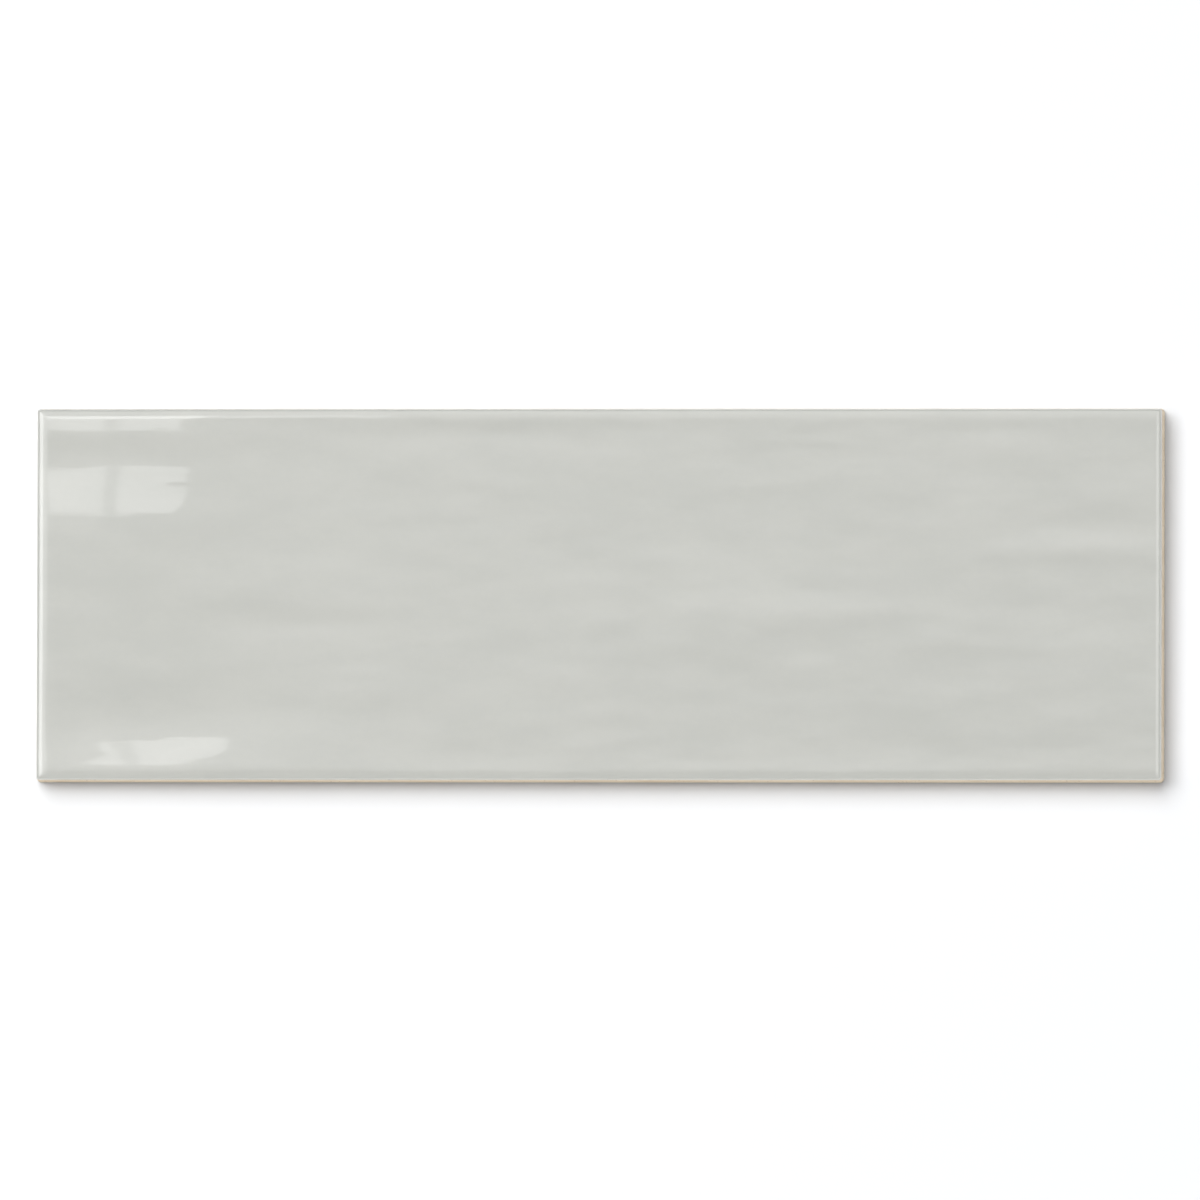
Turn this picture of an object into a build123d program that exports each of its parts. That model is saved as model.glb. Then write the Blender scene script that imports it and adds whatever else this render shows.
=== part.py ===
from build123d import *
import os
from math import exp

# Glazed ceramic wall tile of the 10 x 30 cm format, lying on its back with the glazed face up.
# It is one pressed and fired piece: a body that flares a little towards the back, a coat of
# glaze that laps over the upper edge and stops short of the back, a face that swells and dips
# by a few tenths like hand-worked ware, and a back of shallow pockets between ribs for the
# adhesive. Millimetres. The origin is the middle of the back plane, +X runs along the length
# and +Z points out of the face.

# Body
length = 298.0  # made size, at the widest line, just above the back
width = 98.7
thickness = 9.0  # from the back plane to the mean level of the face
corner_radius = 0.5  # upright corners of the bare body at the glaze line, seen from above
side_flare = 0.65  # how much wider each side is at the back than at the glaze line
back_edge = 0.5  # bevel round the back

# Glaze
glaze_lap = 2.0  # how far the glaze comes down the sides from the mean level of the face
glaze_coat = 0.2  # how far the glaze stands proud of the bare side
lip_radius = 0.12  # rounded lower edge of the glaze

# Rim of the face
rim_radius = 0.6  # tight rounding where the face turns down into the side
rim_fall = 0.16  # how far the face has rolled down before that rounding starts
rim_reach = 1.7  # width of that roll, in from the side
bead_rise = 0.03  # low ridge of pooled glaze along the rim
bead_inset = 2.4  # distance of the ridge from the side
bead_spread = 2.1

# Ribbed back
pocket_depth = 0.8
pocket_corner = 1.2
pocket_columns = 10
pocket_rows = 3
pocket_slope = 25  # degrees that the pocket walls lean
rib_width = 2.2
back_band = 5.0  # flat border round the ribs

# Swells of the face: place along and across as a share of the half length and half width, then
# the reach along, the reach across and the rise in millimetres. A hollow has a negative rise.
swells = [
    (-1.18, 0.0, 28.0, 200.0, -0.9),
    (-0.9, 0.875, 30.0, 3.2, 0.085),
    (-0.9, 0.34, 26.0, 7.0, 0.13),
    (-0.9, 0.07, 20.0, 6.0, 0.06),
    (-1.01, -1.02, 30.0, 16.0, -0.25),
    (-0.72, -0.665, 26.0, 6.0, -0.14),
    (-0.7, -0.97, 26.0, 5.5, 0.22),
    (-0.89, -0.13, 10.0, 3.0, 0.04),
    (-0.57, 0.02, 20.0, 5.0, 0.08),
    (-0.48, -0.15, 18.0, 2.2, -0.04),
    (-0.39, -0.53, 14.0, 4.0, 0.05),
    (-0.19, 0.86, 16.0, 2.5, -0.05),
    (-0.26, 0.61, 10.0, 2.2, 0.04),
    (-0.21, 0.2, 10.0, 5.0, 0.04),
    (0.28, 0.59, 12.0, 2.5, 0.03),
    (0.55, 0.57, 20.0, 4.0, 0.04),
    (0.72, 0.78, 9.0, 2.5, 0.03),
    (0.42, -0.1, 20.0, 3.2, 0.085),
    (0.24, -0.18, 18.0, 7.0, 0.08),
    (0.85, 0.36, 14.0, 3.0, -0.06),
    (0.85, 0.25, 14.0, 2.5, 0.05),
    (0.59, -0.27, 10.0, 3.0, 0.03),
    (0.76, -0.39, 8.0, 6.0, 0.05),
    (0.62, -0.84, 16.0, 3.5, -0.06),
    (0.22, -0.82, 30.0, 5.0, -0.05),
]

# Sampling of the face surface
sample_step_along = 7.0
sample_step_across = 2.4
overhang = 2.0  # the surface runs this far past the sides before it trims the block
head_room = 3.0  # block above the face that the surface trims away

glaze_line = thickness - glaze_lap  # height where the glaze stops on the sides
neck_length = length - 2 * side_flare  # bare body at the glaze line
neck_width = width - 2 * side_flare
face_length = neck_length + 2 * glaze_coat  # outline of the glazed part
face_width = neck_width + 2 * glaze_coat
glaze_corner = corner_radius + glaze_coat
rim_rounding = min(rim_radius, 0.9 * glaze_corner)  # the corner leaves room for no more
pocket_pitch_along = (length - 2 * back_band + rib_width) / pocket_columns
pocket_pitch_across = (width - 2 * back_band + rib_width) / pocket_rows


def roll(inset):
    """Share of the rim's fall at a distance in from one side: 1 at the side, 0 past the roll."""
    return max(0.0, 1.0 - inset / rim_reach) ** 3


def bead(inset):
    """Rise of the pooled ridge at a distance in from one side."""
    return bead_rise * exp(-(((inset - bead_inset) / bead_spread) ** 2))


def swell_height(x, y):
    """Sum of the swells and hollows at a point of the face."""
    total = 0.0
    for along, across, reach_along, reach_across, rise in swells:
        u = (x - along * face_length / 2) / reach_along
        v = (y - across * face_width / 2) / reach_across
        total += rise * exp(-0.5 * (u * u + v * v))
    return total


def face_height(x, y):
    """Height of the glazed face above the back plane."""
    inset_x = face_length / 2 - abs(x)
    inset_y = face_width / 2 - abs(y)
    fall = rim_fall * (1 - (1 - roll(inset_x)) * (1 - roll(inset_y)))
    return thickness - fall + bead(inset_x) + bead(inset_y) + swell_height(x, y)


def stations(size, step):
    """Sample places over one direction of the face: close together at both rims, even between."""
    rim = [-overhang, -0.8, 0.0, 0.4, 0.8, 1.3, 1.9, 2.7, 3.9, 5.6]
    count = round((size - 2 * rim[-1]) / step)
    even = [rim[-1] + (size - 2 * rim[-1]) * i / count for i in range(1, count)]
    insets = rim + even + [size - inset for inset in reversed(rim)]
    return [inset - size / 2 for inset in insets]


face_points = [
    [Vector(x, y, face_height(x, y)) for y in stations(face_width, sample_step_across)]
    for x in stations(face_length, sample_step_along)
]
face_surface = Face.make_surface_from_array_of_points(face_points, tol=0.001, min_deg=3)

with BuildPart() as tile:
    # Bare body, flaring from the glaze line down to the bevel of the back
    with BuildSketch(Plane.XY.offset(glaze_line)) as neck:
        RectangleRounded(neck_length, neck_width, corner_radius)
    with BuildSketch(Plane.XY.offset(back_edge)) as foot:
        RectangleRounded(length, width, corner_radius + side_flare)
    loft(ruled=True)
    extrude(tile.faces().sort_by(Axis.Z)[0], amount=back_edge, taper=45)

    # Glazed part, trimmed to the swelling face and rounded at the rim
    with BuildSketch(Plane.XY.offset(glaze_line)) as glazed:
        RectangleRounded(face_length, face_width, glaze_corner)
    extrude(amount=thickness + head_room - glaze_line)
    extrude(face_surface, amount=2 * head_room, dir=(0, 0, 1), mode=Mode.SUBTRACT)
    fillet(tile.faces().sort_by(Axis.Z)[-1].edges(), radius=rim_rounding)
    glaze_underside = tile.faces().filter_by(Axis.Z).sort_by(Axis.Z)[-1]
    fillet(glaze_underside.outer_wire().edges(), radius=lip_radius)

    # Pockets in the back
    with BuildSketch(Plane.XY) as pockets:
        with GridLocations(pocket_pitch_along, pocket_pitch_across, pocket_columns, pocket_rows):
            RectangleRounded(
                pocket_pitch_along - rib_width, pocket_pitch_across - rib_width, pocket_corner
            )
    extrude(amount=pocket_depth, taper=pocket_slope, mode=Mode.SUBTRACT)

tile.part.label = "tile"

os.makedirs("parts", exist_ok=True)
export_step(tile.part, "parts/tile.step")
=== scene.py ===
from math import atan, cos, exp, pi, radians, sin, tan

import bmesh
import bpy
from mathutils import Matrix, Vector, noise


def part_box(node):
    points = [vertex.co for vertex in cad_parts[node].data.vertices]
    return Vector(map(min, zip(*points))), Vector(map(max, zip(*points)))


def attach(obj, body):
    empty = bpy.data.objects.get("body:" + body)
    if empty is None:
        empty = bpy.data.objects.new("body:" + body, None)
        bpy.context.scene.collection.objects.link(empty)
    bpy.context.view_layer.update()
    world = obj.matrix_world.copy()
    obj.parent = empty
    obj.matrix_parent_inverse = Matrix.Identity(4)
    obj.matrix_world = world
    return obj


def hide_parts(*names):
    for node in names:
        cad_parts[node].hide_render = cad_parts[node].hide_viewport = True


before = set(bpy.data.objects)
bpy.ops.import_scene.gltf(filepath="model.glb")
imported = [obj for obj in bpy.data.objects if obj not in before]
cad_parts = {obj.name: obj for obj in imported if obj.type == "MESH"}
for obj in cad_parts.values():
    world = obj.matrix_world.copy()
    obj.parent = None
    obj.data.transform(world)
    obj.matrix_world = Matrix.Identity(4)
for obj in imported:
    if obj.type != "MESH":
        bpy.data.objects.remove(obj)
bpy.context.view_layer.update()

mm = 0.001
scene = bpy.context.scene
scene.view_settings.view_transform = "Standard"
print("stage: frame loaded")


# The glazed tile

# What a user would change. All sizes in millimetres.
tileLook = {
    "sideFlare": 0.65,       # how much wider each side is at the back than at the glaze line
    "backEdge": 0.5,         # bevel round the back
    "cornerRadius": 0.5,     # bare body at the glaze line, seen from above
    "innerCorner": 0.22,     # least rounding of the rings of the rim at the corners
    "faceLevel": 9.0,        # mean level of the face above the back plane
    "glazeLine": 7.0,        # where the glaze stops on the sides
    "glazeWander": 0.16,     # how far that line strays up and down
    "wanderSlow": 19.0,      # size of its slow waves
    "wanderQuick": 4.5,      # size of its quick waves
    "quickShare": 0.35,      # how high the quick waves are beside the slow ones
    "glazeCoat": 0.2,        # how far the glaze stands proud of the bare side
    "glazeBulge": 0.03,      # how far the glazed side swells out half way down
    "glazeSag": 0.02,        # how far its lower end stands out further than its upper end
    "lipRadius": 0.12,       # rounded lower edge of the glaze
    "rimRadius": 0.65,       # tight rounding at the edge of the face
    "rimFall": 0.24,         # roll of the face before that rounding
    "rimReach": 2.8,         # width of that roll, in from the side
    "beadRise": 0.03,        # ridge of pooled glaze inside the rim
    "beadInset": 2.4,
    "beadSpread": 2.1,
    "beadAtEnds": 0.3,       # the same ridge at the two short ends, as a share
    "rippleRise": 0.034,     # fine unevenness of the glaze, over the swells
    "rippleAlong": 24.0,
    "rippleAcross": 7.5,
    "rippleSeed": 3.7,       # another number gives other ripples
    "rippleCalm": 0.93,      # how much of it is left out at the left end
    "calmReach": 75.0,       # how far in from that end it stays calm
    "stepAlong": 1.4,        # mesh spacing of the face
    "stepAcross": 0.5,
    "stepAtRim": 0.12,       # the first step in from the rounding, growing to stepAcross
    "arcSteps": 7,           # points round the tight rounding
    "pocketDepth": 0.8,
    "pocketCorner": 1.2,
    "pocketColumns": 10,
    "pocketRows": 3,
    "pocketSlope": 25,       # degrees that the pocket walls lean
    "ribWidth": 2.2,
    "backBand": 5.0,         # flat border round the ribs
    "sharpAngle": 50,        # degrees: edges that fold more than this are shaded sharp
}

# Swells and hollows of the face: along, across, reach along, reach across, rise, in millimetres
# from the middle of the tile.
swells = [
    (-175.0, 0.0, 28.0, 200.0, -0.9),
    (-134.0, 42.8, 30.0, 3.2, 0.11),
    (-134.0, 18.0, 30.0, 7.6, 0.14),
    (-134.0, 3.5, 20.0, 6.0, 0.06),
    (-150.0, -50.0, 60.0, 16.0, -0.12),
    (-114.0, -32.5, 32.0, 6.0, -0.14),
    (-112.0, -47.5, 32.0, 5.5, 0.22),
    (-84.0, -40.0, 18.0, 8.0, 0.14),
    (-132.0, -6.5, 10.0, 3.0, 0.04),
    (-85.0, 1.0, 20.0, 5.0, 0.08),
    (-72.0, -7.5, 18.0, 2.2, -0.04),
    (-58.0, -26.0, 14.0, 4.0, 0.05),
    (-28.0, 42.0, 16.0, 2.5, -0.05),
    (-38.0, 29.8, 10.0, 2.2, 0.04),
    (-31.0, 10.0, 10.0, 5.0, 0.04),
    (42.0, 29.0, 12.0, 2.5, 0.03),
    (82.0, 28.0, 20.0, 4.0, 0.04),
    (107.0, 38.0, 9.0, 2.5, 0.03),
    (62.0, -5.0, 20.0, 3.2, 0.085),
    (36.0, -9.0, 18.0, 7.0, 0.08),
    (127.0, 17.8, 14.0, 3.0, -0.06),
    (127.0, 12.3, 14.0, 2.5, 0.05),
    (87.0, -13.0, 10.0, 3.0, 0.03),
    (113.0, -19.0, 8.0, 6.0, 0.05),
    (92.0, -41.0, 16.0, 3.5, -0.06),
    (32.0, -40.0, 30.0, 5.0, -0.05),
]


def faceSwell(x, y, halfLength, halfWidth, look):
    # height of the face over its mean level, without the roll of the rim
    z = 0.0
    for along, across, reachAlong, reachAcross, rise in swells:
        u = (x - along) / reachAlong
        v = (y - across) / reachAcross
        z += rise * exp(-0.5 * (u * u + v * v))
    insetAcross = (halfWidth - abs(y) - look["beadInset"]) / look["beadSpread"]
    insetAlong = (halfLength - abs(x) - look["beadInset"]) / look["beadSpread"]
    z += look["beadRise"] * exp(-insetAcross * insetAcross)
    z += look["beadRise"] * look["beadAtEnds"] * exp(-insetAlong * insetAlong)
    place = Vector((x / look["rippleAlong"], y / look["rippleAcross"], look["rippleSeed"]))
    calm = 1 - look["rippleCalm"] * exp(-(((x + halfLength) / look["calmReach"]) ** 2))
    z += look["rippleRise"] * calm * noise.fractal(place, 0.9, 2.0, 4)
    return z


def rimProfile(look):
    # (inset, drop) from the edge of the face inwards: a tight arc, then the soft roll
    radius, fall, reach = look["rimRadius"], look["rimFall"], look["rimReach"]

    def rolled(inset):
        return fall * max(0.0, 1 - inset / reach) ** 3

    lean = 0.0  # of the roll where the arc touches it
    for _ in range(20):
        touch = radius * (1 - sin(lean))
        lean = atan(3 * fall / reach * max(0.0, 1 - touch / reach) ** 2)
    profile = []
    for i in range(look["arcSteps"], -1, -1):
        turn = lean + (pi / 2 - lean) * i / look["arcSteps"]
        inset = radius * (1 - sin(turn))
        profile.append((inset, rolled(touch) + radius * (cos(lean) - cos(turn))))
    step = look["stepAtRim"]
    while inset < reach:
        inset += step
        step = min(step * 1.25, look["stepAcross"])
        profile.append((inset, rolled(inset)))
    return profile


def evenStations(size, insets, step):
    # places across the face: the insets of the rim at both ends, even steps between
    inner = size - 2 * insets[-1]
    count = round(inner / step)
    middle = [insets[-1] + inner * i / count for i in range(1, count)]
    return insets + middle + [size - inset for inset in reversed(insets)]


def addFace(mesh, look, halfLength, halfWidth):
    # the glazed face as a grid of points, whose outer rings follow the rim and its corners
    corner = look["cornerRadius"] + look["glazeCoat"]
    profile = rimProfile(look)
    insets = [inset for inset, drop in profile]
    xs = evenStations(2 * halfLength, insets, look["stepAlong"])
    ys = evenStations(2 * halfWidth, insets, look["stepAcross"])
    columns, rows = len(xs), len(ys)

    def facePoint(i, j):
        # inset from the nearer short and long side, with the rings rounded at the corners
        insetX = min(xs[i], 2 * halfLength - xs[i])
        insetY = min(ys[j], 2 * halfWidth - ys[j])
        ring = min(i, j, columns - 1 - i, rows - 1 - j)
        inset = min(insetX, insetY)
        radius = max(corner - inset, look["innerCorner"]) if ring < len(profile) else 0.0
        reach = max(insetX, insetY) - inset
        if radius > 0 and reach < radius:
            turn = (1 - reach / radius) * pi / 4
            near = inset + radius * (1 - cos(turn))
            far = inset + radius * (1 - sin(turn))
            insetX, insetY = (far, near) if insetX > insetY else (near, far)
        x = (halfLength - insetX) * (-1 if i < columns / 2 else 1)
        y = (halfWidth - insetY) * (-1 if j < rows / 2 else 1)
        drop = profile[ring][1] if ring < len(profile) else 0.0
        z = look["faceLevel"] + faceSwell(x, y, halfLength, halfWidth, look) - drop
        return x, y, z

    grid = [[mesh.verts.new(facePoint(i, j)) for j in range(rows)] for i in range(columns)]
    for i in range(columns - 1):
        for j in range(rows - 1):
            mesh.faces.new((grid[i][j], grid[i + 1][j], grid[i + 1][j + 1], grid[i][j + 1]))
    print("stage: face of", columns, "by", rows, "points")
    return grid


def faceEdge(grid, look, halfLength, halfWidth):
    # the edge of the face, once round, and the way out of it at each point
    lastColumn = len(grid) - 1
    lastRow = len(grid[0]) - 1
    edge = [grid[i][0] for i in range(lastColumn)]
    edge += [grid[lastColumn][j] for j in range(lastRow)]
    edge += [grid[i][lastRow] for i in range(lastColumn, 0, -1)]
    edge += [grid[0][j] for j in range(lastRow, 0, -1)]
    corner = look["cornerRadius"] + look["glazeCoat"]
    ways = []
    for vert in edge:
        dx = max(abs(vert.co.x) - (halfLength - corner), 0.0)
        dy = max(abs(vert.co.y) - (halfWidth - corner), 0.0)
        way = Vector((dx if vert.co.x > 0 else -dx, dy if vert.co.y > 0 else -dy, 0.0))
        ways.append(way.normalized())
    return edge, ways


def addSides(mesh, look, edge, ways):
    # glazed side, rounded lip and bare flaring side, down to the edge of the back
    coat, lip = look["glazeCoat"], look["lipRadius"]
    glazeLine, backEdge = look["glazeLine"], look["backEdge"]

    def waves(vert, size, seed):
        return noise.noise(Vector((vert.co.x / size, vert.co.y / size, seed)))

    def lineHeight(vert):
        # the lower edge of the glaze wanders as it ran and froze
        slow = waves(vert, look["wanderSlow"], 1.3)
        quick = waves(vert, look["wanderQuick"], 8.1)
        return glazeLine + look["glazeWander"] * (slow + look["quickShare"] * quick)

    lines = [lineHeight(vert) for vert in edge]
    rings = [edge]

    def addRing(out, height):
        # out: how far from the face's edge; height: from the heights of the edge and the line
        ring = []
        for vert, way, line in zip(edge, ways, lines):
            point = Vector((vert.co.x, vert.co.y, 0)) + way * out
            point.z = height(vert.co.z, line)
            ring.append(mesh.verts.new(point))
        rings.append(ring)

    for share in (0.25, 0.5, 0.75, 1.0):
        out = look["glazeBulge"] * sin(pi * share) + look["glazeSag"] * share
        addRing(out, lambda top, line: top + (line + lip - top) * share)
    for turn in (30, 60, 90):
        out = lip * (cos(radians(turn)) - 1) + look["glazeSag"]
        down = lip * (1 - sin(radians(turn)))
        addRing(out, lambda top, line: line + down)
    addRing(-coat * 0.7, lambda top, line: line - 0.01)
    addRing(-coat + 0.01, lambda top, line: line - 0.06)
    glazeRings = len(rings) - 1

    flare = look["sideFlare"] / (glazeLine - backEdge)
    for share in (0.15, 0.32, 0.5, 0.68, 0.85, 1.0):
        level = glazeLine + (backEdge - glazeLine) * share
        addRing(-coat + flare * (glazeLine - level), lambda top, line: level)
    foot = -coat + look["sideFlare"]
    addRing(foot - 0.12, lambda top, line: backEdge * 0.6)
    addRing(foot - backEdge, lambda top, line: 0.0)

    count = len(edge)
    for level in range(len(rings) - 1):
        upper, lower = rings[level], rings[level + 1]
        for k in range(count):
            after = (k + 1) % count
            side = mesh.faces.new((lower[k], lower[after], upper[after], upper[k]))
            side.material_index = 0 if level < glazeRings else 1
    return rings[-1]


def addBack(mesh, look, backLength, backWidth, outline):
    # pockets between ribs, and the flat land that joins them to the outline of the back
    columns, rows = look["pocketColumns"], look["pocketRows"]
    pitchX = (backLength - 2 * look["backBand"] + look["ribWidth"]) / columns
    pitchY = (backWidth - 2 * look["backBand"] + look["ribWidth"]) / rows
    shrink = look["pocketDepth"] * tan(radians(look["pocketSlope"]))

    def pocketLoop(cx, cy, inset, z):
        halfX = (pitchX - look["ribWidth"]) / 2 - inset
        halfY = (pitchY - look["ribWidth"]) / 2 - inset
        radius = look["pocketCorner"] - inset
        loop = []
        for quarter in range(4):
            signX = 1 if quarter in (0, 3) else -1
            signY = 1 if quarter in (0, 1) else -1
            for k in range(5):
                angle = (quarter + k / 4) * pi / 2
                x = cx + signX * (halfX - radius) + radius * cos(angle)
                y = cy + signY * (halfY - radius) + radius * sin(angle)
                loop.append(mesh.verts.new((x, y, z)))
        return loop

    count = len(outline)
    landEdges = [mesh.edges.get((outline[k], outline[(k + 1) % count])) for k in range(count)]
    clay = []
    for column in range(columns):
        for row in range(rows):
            cx = (column - (columns - 1) / 2) * pitchX
            cy = (row - (rows - 1) / 2) * pitchY
            mouth = pocketLoop(cx, cy, 0.0, 0.0)
            floor = pocketLoop(cx, cy, shrink, look["pocketDepth"])
            for k in range(len(mouth)):
                after = (k + 1) % len(mouth)
                clay.append(mesh.faces.new((mouth[k], mouth[after], floor[after], floor[k])))
                landEdges.append(mesh.edges.get((mouth[k], mouth[after])))
            clay.append(mesh.faces.new(list(reversed(floor))))
    land = bmesh.ops.triangle_fill(mesh, use_beauty=True, use_dissolve=False, edges=landEdges)
    clay += [piece for piece in land["geom"] if isinstance(piece, bmesh.types.BMFace)]
    for face in clay:
        face.material_index = 1


def buildTile(look):
    low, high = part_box("tile")
    halfLength = (high.x - low.x) / mm / 2 - look["sideFlare"] + look["glazeCoat"]
    halfWidth = (high.y - low.y) / mm / 2 - look["sideFlare"] + look["glazeCoat"]
    backLength = 2 * halfLength - 2 * look["glazeCoat"] + 2 * look["sideFlare"]
    backWidth = 2 * halfWidth - 2 * look["glazeCoat"] + 2 * look["sideFlare"]

    mesh = bmesh.new()
    grid = addFace(mesh, look, halfLength, halfWidth)
    edge, ways = faceEdge(grid, look, halfLength, halfWidth)
    outline = addSides(mesh, look, edge, ways)
    addBack(mesh, look, backLength, backWidth, outline)
    bmesh.ops.recalc_face_normals(mesh, faces=mesh.faces)
    bmesh.ops.scale(mesh, vec=(mm, mm, mm), verts=mesh.verts)
    for face in mesh.faces:
        face.smooth = True
    openEdges = sum(1 for seam in mesh.edges if not seam.is_manifold)

    data = bpy.data.meshes.new("tileBody")
    mesh.to_mesh(data)
    mesh.free()
    data.set_sharp_from_angle(angle=radians(look["sharpAngle"]))
    tile = bpy.data.objects.new("glazedTile", data)
    scene.collection.objects.link(tile)
    print("stage: tile mesh,", len(data.polygons), "faces,", openEdges, "open edges")
    return tile


# Shader helpers

def newMaterial(name):
    material = bpy.data.materials.new(name)
    material.use_nodes = True
    tree = material.node_tree
    return material, tree, tree.nodes["Principled BSDF"]


def addNode(tree, kind, settings=None, **inputs):
    node = tree.nodes.new(kind)
    for key, value in (settings or {}).items():
        setattr(node, key, value)
    for key, value in inputs.items():
        node.inputs[key].default_value = value
    return node


def combine(tree, kind, *terms):
    # a Math node; each term is a number or the output of another node
    node = addNode(tree, "ShaderNodeMath", {"operation": kind})
    for slot, term in enumerate(terms):
        if isinstance(term, float):
            node.inputs[slot].default_value = term
        else:
            tree.links.new(term, node.inputs[slot])
    return node.outputs[0]


def smoothStep(tree, value, start, end, kind="SMOOTHSTEP"):
    # 0 at the start and before it, 1 at the end and past it; the end may be the lower of the two
    step = addNode(tree, "ShaderNodeMapRange", {"interpolation_type": kind})
    step.inputs["From Min"].default_value = start
    step.inputs["From Max"].default_value = end
    tree.links.new(value, step.inputs["Value"])
    return step.outputs["Result"]


def mixColours(tree, share, first, second=None):
    # with no second output, the caller sets that colour on the node
    node = addNode(tree, "ShaderNodeMix", {"data_type": "RGBA"})
    tree.links.new(share, node.inputs["Factor"])
    tree.links.new(first, node.inputs["A"])
    if second is not None:
        tree.links.new(second, node.inputs["B"])
    return node


def stretchedNoise(tree, place, size, detail, rough=0.5):
    # noise drawn out along the tile: size is that of its patches, along and across, in millimetres
    along, across = size
    mapping = addNode(tree, "ShaderNodeMapping")
    mapping.inputs["Scale"].default_value = (1 / (along * mm), 1 / (across * mm), 1 / (across * mm))
    tree.links.new(place, mapping.inputs["Vector"])
    texture = addNode(tree, "ShaderNodeTexNoise", Scale=1.0, Detail=detail, Roughness=rough)
    tree.links.new(mapping.outputs["Vector"], texture.inputs["Vector"])
    return texture.outputs["Fac"]


def makeGroup(name, inputs, outputs):
    group = bpy.data.node_groups.new(name, "ShaderNodeTree")
    for label, kind, value in inputs:
        socket = group.interface.new_socket(label, in_out="INPUT", socket_type=kind)
        socket.default_value = value
    for label, kind in outputs:
        group.interface.new_socket(label, in_out="OUTPUT", socket_type=kind)
    return group, group.nodes.new("NodeGroupInput"), group.nodes.new("NodeGroupOutput")


# Mottling and specks that the glaze and the bare clay share
surfaceLook = {
    "cloud": (17.0, 7.0),       # sizes of the three layers of clouds, along and across
    "fine": (2.2, 1.6),
    "broad": (60.0, 26.0),
    "fineShare": 0.35,          # how much of each is added to the middle one
    "broadShare": 0.6,
    "cloudRange": (0.65, 1.3),  # sums at which the deep colour sets in and is full
    "speckRange": (0.28, 0.10),  # distances at which a speck sets in and is full, as shares of its cell
}


def makeFiredSurface(look):
    group, source, sink = makeGroup(
        "firedSurface",
        [
            ("Colour", "NodeSocketColor", (0.5, 0.5, 0.5, 1)),
            ("Deep Colour", "NodeSocketColor", (0.4, 0.4, 0.4, 1)),
            ("Mottle", "NodeSocketFloat", 0.5),
            ("Speck Colour", "NodeSocketColor", (0.3, 0.25, 0.2, 1)),
            ("Specks", "NodeSocketFloat", 0.0),
            ("Speck Scale", "NodeSocketFloat", 900.0),
        ],
        [("Colour", "NodeSocketColor"), ("Relief", "NodeSocketFloat")],
    )
    links = group.links
    place = addNode(group, "ShaderNodeTexCoord").outputs["Object"]

    # clouds
    cloud = stretchedNoise(group, place, look["cloud"], 4.0)
    fine = stretchedNoise(group, place, look["fine"], 5.0, 0.6)
    broad = stretchedNoise(group, place, look["broad"], 2.0)
    clouds = combine(group, "MULTIPLY_ADD", fine, look["fineShare"], cloud)
    clouds = combine(group, "MULTIPLY_ADD", broad, look["broadShare"], clouds)
    spread = smoothStep(group, clouds, *look["cloudRange"])
    amount = combine(group, "MULTIPLY", spread, source.outputs["Mottle"])
    tone = mixColours(group, amount, source.outputs["Colour"], source.outputs["Deep Colour"])

    # specks: some of the cells, each by the random colour that it has
    grains = addNode(group, "ShaderNodeTexVoronoi", {"feature": "F1"})
    links.new(place, grains.inputs["Vector"])
    links.new(source.outputs["Speck Scale"], grains.inputs["Scale"])
    dot = smoothStep(group, grains.outputs["Distance"], *look["speckRange"])
    pick = addNode(group, "ShaderNodeSeparateColor")
    links.new(grains.outputs["Color"], pick.inputs["Color"])
    chosen = combine(group, "LESS_THAN", pick.outputs["Red"], source.outputs["Specks"])
    mask = combine(group, "MULTIPLY", dot, chosen)
    speckled = mixColours(group, mask, tone.outputs["Result"], source.outputs["Speck Colour"])

    links.new(speckled.outputs["Result"], sink.inputs["Colour"])
    links.new(fine, sink.inputs["Relief"])
    return group


glazeLook = {
    "colour": (0.570, 0.575, 0.538, 1),
    "deep": (0.531, 0.539, 0.505, 1),
    "thinGlazeAndHighlight": (0.78, 0.78, 0.745, 1),   # painted highlight on the rounded rims and glazed sides, partly the glaze drawn thin over the edge
    "highlightRange": (0.87, 0.55),        # upward share of the normal where that painted highlight sets in and is full
    "mottle": 0.8,
    "roughness": 0.022,
    "ior": 1.5,
    "peel": 0.5,                      # strength of the fine ripple in the gloss
    "peelDepth": 0.0000015,           # metres
    "peelSize": (14.0, 0.55),
}
clayLook = {
    "colour": (0.88, 0.76, 0.585, 1),
    "deep": (0.80, 0.665, 0.49, 1),
    "mottle": 1.0,
    "speck": (0.30, 0.20, 0.13, 1),
    "specks": 0.16,                   # share of the cells that hold one
    "speckScale": 900.0,              # cells in a metre
    "roughness": 0.85,
    "grain": 0.6,
    "grainDepth": 0.00012,            # metres
}


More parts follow.
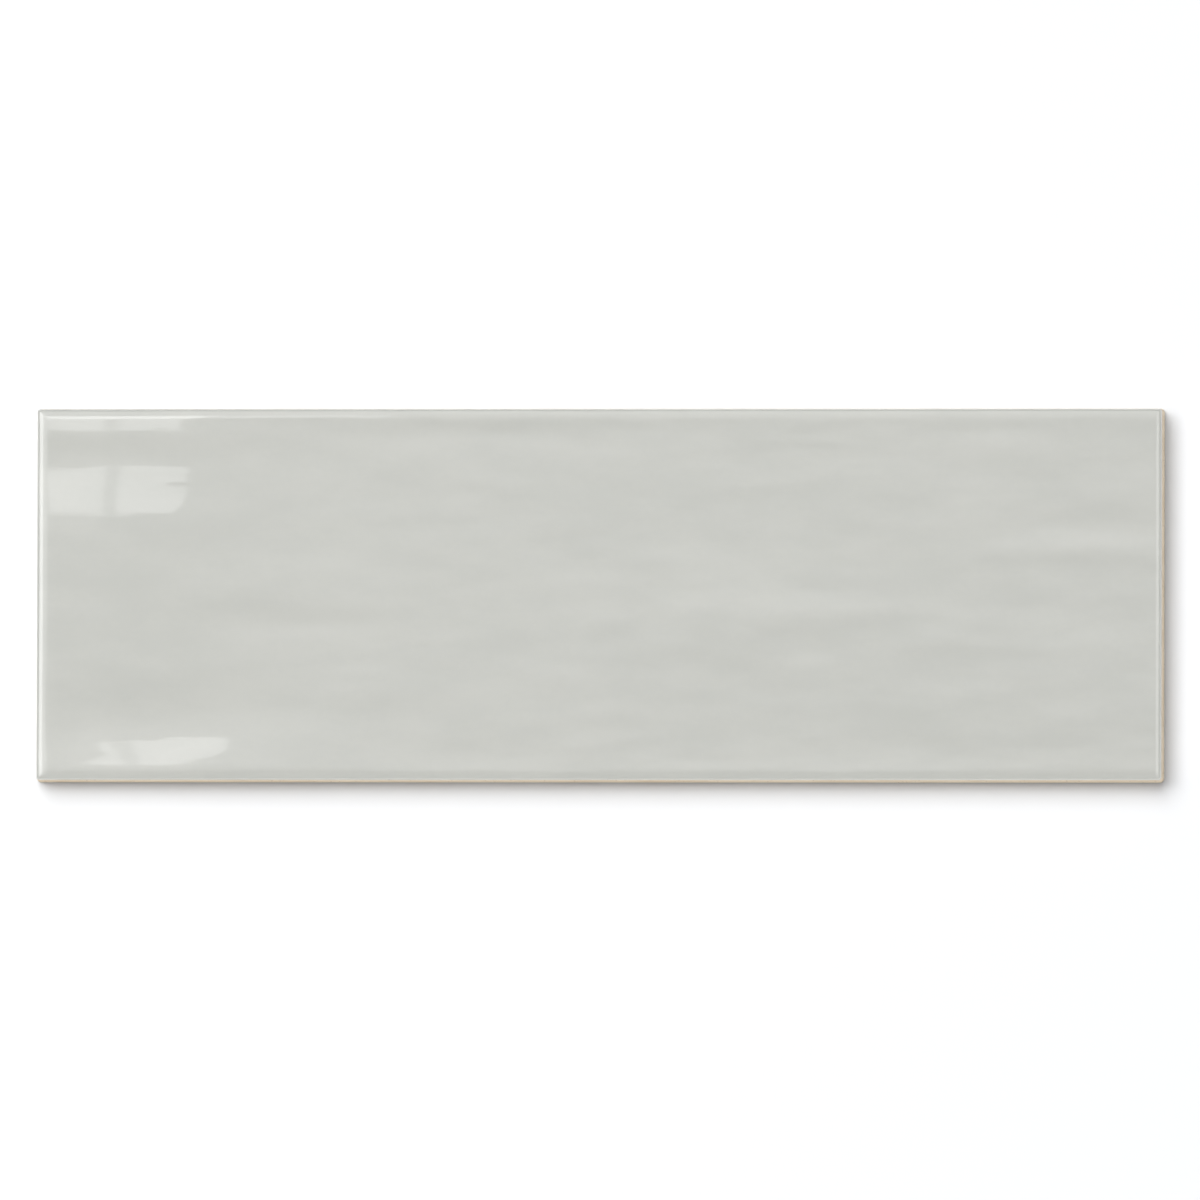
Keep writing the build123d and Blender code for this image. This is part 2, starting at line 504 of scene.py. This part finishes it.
def glazeMaterial(look, surface):
    material, tree, shader = newMaterial("paleGlaze")
    links = tree.links
    skin = addNode(tree, "ShaderNodeGroup", {"node_tree": surface})
    skin.inputs["Colour"].default_value = look["colour"]
    skin.inputs["Deep Colour"].default_value = look["deep"]
    skin.inputs["Mottle"].default_value = look["mottle"]
    place = addNode(tree, "ShaderNodeTexCoord")
    upward = addNode(tree, "ShaderNodeSeparateXYZ")
    links.new(place.outputs["Normal"], upward.inputs[0])
    # painted highlight: the colour turns pale where the normal tips away from up, on the rims and
    # glazed sides; partly thin glaze, partly standing in for their bright reflections
    edge = smoothStep(tree, upward.outputs["Z"], *look["highlightRange"])
    thinnedAndHighlit = mixColours(tree, edge, skin.outputs["Colour"])
    thinnedAndHighlit.inputs["B"].default_value = look["thinGlazeAndHighlight"]
    links.new(thinnedAndHighlit.outputs["Result"], shader.inputs["Base Color"])
    shader.inputs["Roughness"].default_value = look["roughness"]
    shader.inputs["IOR"].default_value = look["ior"]
    peel = stretchedNoise(tree, place.outputs["Object"], look["peelSize"], 2.0)
    bump = addNode(tree, "ShaderNodeBump", Strength=look["peel"], Distance=look["peelDepth"])
    links.new(peel, bump.inputs["Height"])
    links.new(bump.outputs["Normal"], shader.inputs["Normal"])
    return material


def clayMaterial(look, surface):
    material, tree, shader = newMaterial("bareClay")
    links = tree.links
    skin = addNode(tree, "ShaderNodeGroup", {"node_tree": surface})
    skin.inputs["Colour"].default_value = look["colour"]
    skin.inputs["Deep Colour"].default_value = look["deep"]
    skin.inputs["Mottle"].default_value = look["mottle"]
    skin.inputs["Speck Colour"].default_value = look["speck"]
    skin.inputs["Specks"].default_value = look["specks"]
    skin.inputs["Speck Scale"].default_value = look["speckScale"]
    links.new(skin.outputs["Colour"], shader.inputs["Base Color"])
    shader.inputs["Roughness"].default_value = look["roughness"]
    bump = addNode(tree, "ShaderNodeBump", Strength=look["grain"], Distance=look["grainDepth"])
    links.new(skin.outputs["Relief"], bump.inputs["Height"])
    links.new(bump.outputs["Normal"], shader.inputs["Normal"])
    return material


surface = makeFiredSurface(surfaceLook)
tile = buildTile(tileLook)
tile.data.materials.append(glazeMaterial(glazeLook, surface))
tile.data.materials.append(clayMaterial(clayLook, surface))
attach(tile, "root")
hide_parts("tile")
print("stage: materials")


# Floor, sky and lamps

# Edges of the sky's soft fields are given as (middle, softness), in the direction's own X and Y.
# Panels are in metres: spans are (from, to) along one axis.
studioLook = {
    "floorSize": 60.0,
    "floorDrop": 0.00003,   # how far it lies below the back of the tile
    "floorColour": (0.618, 0.625, 0.637, 1),
    "fill": 0.19,           # plain light of the whole sky
    "north": 0.5,           # how much brighter it is towards +Y
    "west": 0.10,           # and towards -X
    "horizon": (0.06, 0.02),  # the softbox ends above it
    "softbox": 2.15,        # broad soft light over the upper left
    "softboxEdge": (0.045, 0.034),
    "softboxTop": (0.40, 0.05),
    "softboxLeft": (-0.70, 0.06),
    "softboxRight": (0.16, 0.05),
    "shoulder": 1.2,        # softer light beyond it, towards -X
    "shoulderNear": (-0.17, 0.035),
    "shoulderFar": (-0.36, 0.05),
    "paneLight": 2.4,       # the two panes of the window
    "paneHeight": 2.0,      # above the floor
    "paneSpans": ((-0.390, -0.350), (-0.336, -0.283)),
    "paneAcross": (0.145, 0.215),
    "bands": {              # other light in the panes' plane: spans along and across, and light
        "skyBand": ((-0.405, -0.272), (0.224, 0.38), 5.0),
        "mullion": ((-0.350, -0.336), (0.145, 0.215), 0.9),
        "skyBandEnd": ((-0.272, -0.20), (0.25, 0.36), 2.5),
    },
    "strips": {             # place, size and light of the panels that line the rims
        "westStrip": ((-0.56, 0.06, 1.20), (0.26, 0.60), 6.0),
        "westGlow": ((-0.365, 0.06, 1.20), (0.13, 0.60), 2.0),
        "eastStrip": ((0.475, 0.0, 1.90), (0.28, 1.2), 3.0),
        "northStrip": ((0.0, 0.68, 1.90), (1.8, 0.40), 0.8),
    },
    "frontLight": 1.3,      # low and broad from the lower right, on the tile alone
    "frontPlace": (1.3, -1.7, 0.75),
    "frontSize": (3.0, 1.2),
    "keyLight": 2.9,        # broad sun from the upper left, on the floor alone, for the shadow
    "keyFrom": (-0.24, 0.38, 0.85),
    "keyAngle": 46,         # degrees across
}


def makeFloor(look):
    # plain and pale from above, clear from below
    half = look["floorSize"] / 2
    data = bpy.data.meshes.new("floor")
    corners = [(-half, -half, 0), (half, -half, 0), (half, half, 0), (-half, half, 0)]
    data.from_pydata(corners, [], [(0, 1, 2, 3)])
    floor = bpy.data.objects.new("floor", data)
    scene.collection.objects.link(floor)
    floor.location.z = -look["floorDrop"]
    material, tree, shader = newMaterial("paleFloor")
    tree.nodes.remove(shader)
    matte = addNode(tree, "ShaderNodeBsdfDiffuse", Color=look["floorColour"])
    clear = addNode(tree, "ShaderNodeBsdfTransparent")
    side = addNode(tree, "ShaderNodeNewGeometry")
    either = addNode(tree, "ShaderNodeMixShader")
    tree.links.new(side.outputs["Backfacing"], either.inputs["Fac"])
    tree.links.new(matte.outputs[0], either.inputs[1])
    tree.links.new(clear.outputs[0], either.inputs[2])
    tree.links.new(either.outputs[0], tree.nodes["Material Output"].inputs["Surface"])
    data.materials.append(material)
    return floor


def makeSky(look):
    # a pale sky with one broad, soft-edged bright field towards the upper left, which the glaze
    # mirrors; the camera sees plain white in its place
    world = bpy.data.worlds.new("studioSky")
    scene.world = world
    world.use_nodes = True
    tree = world.node_tree
    links = tree.links
    sky = tree.nodes["Background"]
    place = addNode(tree, "ShaderNodeTexCoord")
    parts = addNode(tree, "ShaderNodeSeparateXYZ")
    links.new(place.outputs["Generated"], parts.inputs[0])

    def ramp(axis, middle, softness, rising=True):
        half = 3 * softness if rising else -3 * softness
        return smoothStep(tree, parts.outputs[axis], middle - half, middle + half, "SMOOTHERSTEP")

    field = ramp("Y", *look["softboxEdge"])
    field = combine(tree, "MULTIPLY", field, ramp("Y", *look["softboxTop"], False))
    field = combine(tree, "MULTIPLY", field, ramp("X", *look["softboxLeft"]))
    field = combine(tree, "MULTIPLY", field, ramp("X", *look["softboxRight"], False))
    field = combine(tree, "MULTIPLY", field, ramp("Z", *look["horizon"]))
    north = look["fill"] * look["north"]
    west = look["fill"] * look["west"]
    level = combine(tree, "MULTIPLY_ADD", parts.outputs["Y"], north, look["fill"])
    level = combine(tree, "MULTIPLY_ADD", parts.outputs["X"], -west, level)
    level = combine(tree, "MULTIPLY_ADD", field, look["softbox"], level)
    side = ramp("X", *look["shoulderNear"], False)
    side = combine(tree, "MULTIPLY", side, ramp("X", *look["shoulderFar"]))
    level = combine(tree, "MULTIPLY_ADD", side, look["shoulder"], level)

    lightPath = addNode(tree, "ShaderNodeLightPath")
    shown = addNode(tree, "ShaderNodeMix", {"data_type": "FLOAT"})
    links.new(lightPath.outputs["Is Camera Ray"], shown.inputs["Factor"])
    links.new(level, shown.inputs["A"])
    shown.inputs["B"].default_value = 1.0
    links.new(shown.outputs["Result"], sky.inputs["Strength"])
    sky.inputs["Color"].default_value = (1, 1, 1, 1)


def addPanel(name, centre, size, radiance, target=None):
    # a flat rectangular lamp, facing down or towards a point
    data = bpy.data.lights.new(name, "AREA")
    data.shape = "RECTANGLE"
    data.size, data.size_y = size
    data.energy = radiance * size[0] * size[1] * pi
    lamp = bpy.data.objects.new(name, data)
    scene.collection.objects.link(lamp)
    lamp.location = centre
    if target is not None:
        way = Vector(target) - Vector(centre)
        lamp.rotation_euler = way.to_track_quat("-Z", "Y").to_euler()
    lamp.visible_camera = False
    return lamp


def addBand(name, along, across, height, radiance):
    # a panel facing down, given by its spans
    centre = (sum(along) / 2, sum(across) / 2, height)
    addPanel(name, centre, (along[1] - along[0], across[1] - across[0]), radiance)


def lightOnly(lamp, piece):
    group = bpy.data.collections.new(lamp.name + "Lights")
    group.objects.link(piece)
    lamp.light_linking.receiver_collection = group


def makeLamps(look, tile, floor):
    height = look["paneHeight"]
    for number, span in enumerate(look["paneSpans"]):
        addBand(f"windowPane{number + 1}", span, look["paneAcross"], height, look["paneLight"])
    for name, (along, across, light) in look["bands"].items():
        addBand(name, along, across, height, light)
    for name, (place, size, light) in look["strips"].items():
        addPanel(name, place, size, light)
    middle = (0, 0, 0)
    front = addPanel("frontPanel", look["frontPlace"], look["frontSize"], look["frontLight"], middle)
    lightOnly(front, tile)
    sun = bpy.data.lights.new("floorSun", "SUN")
    sun.energy = look["keyLight"]
    sun.angle = radians(look["keyAngle"])
    key = bpy.data.objects.new("floorSun", sun)
    scene.collection.objects.link(key)
    key.rotation_euler = Vector(look["keyFrom"]).to_track_quat("Z", "Y").to_euler()
    lightOnly(key, floor)


floor = makeFloor(studioLook)
makeSky(studioLook)
makeLamps(studioLook, tile, floor)
print("stage: floor, sky and lamps")


# Camera

# Edges of the tile in the photograph, in its 1200 x 1200 pixels, and how far the camera stands
# off the upright, as slopes to the right and downwards.
cameraLook = {
    "frame": 1200,
    "left": 36.3,
    "right": 1164.9,
    "top": 408.4,
    "bottom": 782.9,
    "leanRight": 0.065,
    "leanDown": 0.045,
    "distance": 8.0,        # metres
    "sensor": 36.0,         # millimetres
}


def makeCamera(look, piece):
    back = Vector((look["leanRight"], -look["leanDown"], 1)).normalized()
    right = (Vector((1, 0, 0)) - back * back.x).normalized()
    up = back.cross(right)
    reach = look["distance"]
    place = back * reach
    for _ in range(4):
        # project the tile, then move the camera and set the width until its edges fit
        spots = []
        for vert in piece.data.vertices:
            ray = vert.co - place
            depth = -ray.dot(back)
            spots.append((ray.dot(right) / depth, ray.dot(up) / depth))
        west, east = min(s[0] for s in spots) * reach, max(s[0] for s in spots) * reach
        south, north = min(s[1] for s in spots) * reach, max(s[1] for s in spots) * reach
        width = (east - west) * look["frame"] / (look["right"] - look["left"])
        pixel = width / look["frame"]
        wantedX = ((look["left"] + look["right"]) / 2 - look["frame"] / 2) * pixel
        wantedY = (look["frame"] / 2 - (look["top"] + look["bottom"]) / 2) * pixel
        place += right * ((west + east) / 2 - wantedX) + up * ((south + north) / 2 - wantedY)
    data = bpy.data.cameras.new("camera")
    data.sensor_width = look["sensor"]
    data.lens = look["sensor"] * reach / width
    data.clip_start = 0.05
    data.clip_end = 200
    camera = bpy.data.objects.new("camera", data)
    turned = Matrix((right, up, back)).transposed().to_4x4()
    camera.matrix_world = Matrix.Translation(place) @ turned
    scene.collection.objects.link(camera)
    scene.camera = camera
    tall = round((north - south) / pixel, 1)
    print("stage: camera,", tall, "px tall for", look["bottom"] - look["top"])


makeCamera(cameraLook, tile)
